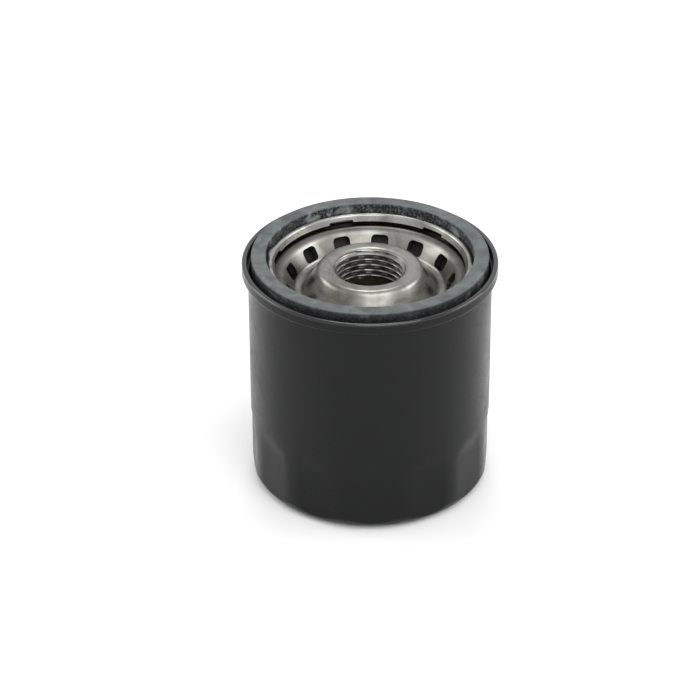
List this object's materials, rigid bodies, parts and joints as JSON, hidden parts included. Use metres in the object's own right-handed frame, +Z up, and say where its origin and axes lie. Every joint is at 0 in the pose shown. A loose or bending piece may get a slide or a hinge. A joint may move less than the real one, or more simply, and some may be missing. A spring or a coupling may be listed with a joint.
{
  "type": "spin-on oil filter",
  "caption": "Small spin-on engine oil filter: a painted steel can with wrench flats, a rolled seam, a square-section gasket and a threaded base plate ringed by inlet windows.",
  "frame": {"origin": "centre of the foot ring's resting face, under the filter's axis", "axes": "+Z up the filter's axis from the closed end to the thread and gasket; -Y is the front"},
  "size_m": [0.0672, 0.0672, 0.0662],
  "materials": {
    "black_paint": "satin",
    "bright_steel": "satin",
    "tinplate": "satin",
    "spring_steel": "satin",
    "gasket_rubber": "matte",
    "valve_rubber": "matte",
    "sealing_compound": "matte",
    "adhesive": "matte",
    "filter_paper": "matte"
  },
  "bodies": {
    "housing": {"canister": "black_paint", "seam_sealant": "sealing_compound", "seaming_lid": "bright_steel", "base_plate": "bright_steel", "mounting_gasket": "gasket_rubber", "element_spring": "spring_steel"},
    "element": {"element_upper_cap": "tinplate", "upper_adhesive": "adhesive", "centre_tube": "tinplate", "pleated_media": "filter_paper", "media_seam_clip": "tinplate", "lower_adhesive": "adhesive", "element_lower_cap": "tinplate", "bypass_cage": "tinplate", "bypass_spring": "spring_steel"},
    "bypass_poppet": {"bypass_disc": "bright_steel", "bypass_seal": "gasket_rubber", "bypass_stem": "bright_steel"},
    "drainback_valve": {"anti_drainback_valve": "valve_rubber"}
  },
  "joints": [
    {"name": "element_float", "type": "slide", "parent": "housing", "child": "element", "axis": [0, 0, -1], "range_m": [0, 0.0015], "stiffness_N_per_m": 8000, "springref_m": -0.006, "deforming": ["element_spring"]},
    {"name": "bypass_lift", "type": "slide", "parent": "element", "child": "bypass_poppet", "axis": [0, 0, 1], "range_m": [0, 0.0022], "stiffness_N_per_m": 1500, "springref_m": -0.0075, "deforming": ["bypass_spring"]},
    {"name": "drainback_lip", "type": "slide", "parent": "element", "child": "drainback_valve", "axis": [0, 0, -1], "range_m": [0, 0.001], "stiffness_N_per_m": 300, "springref_m": -0.0005, "deforming": ["anti_drainback_valve"]}
  ]
}
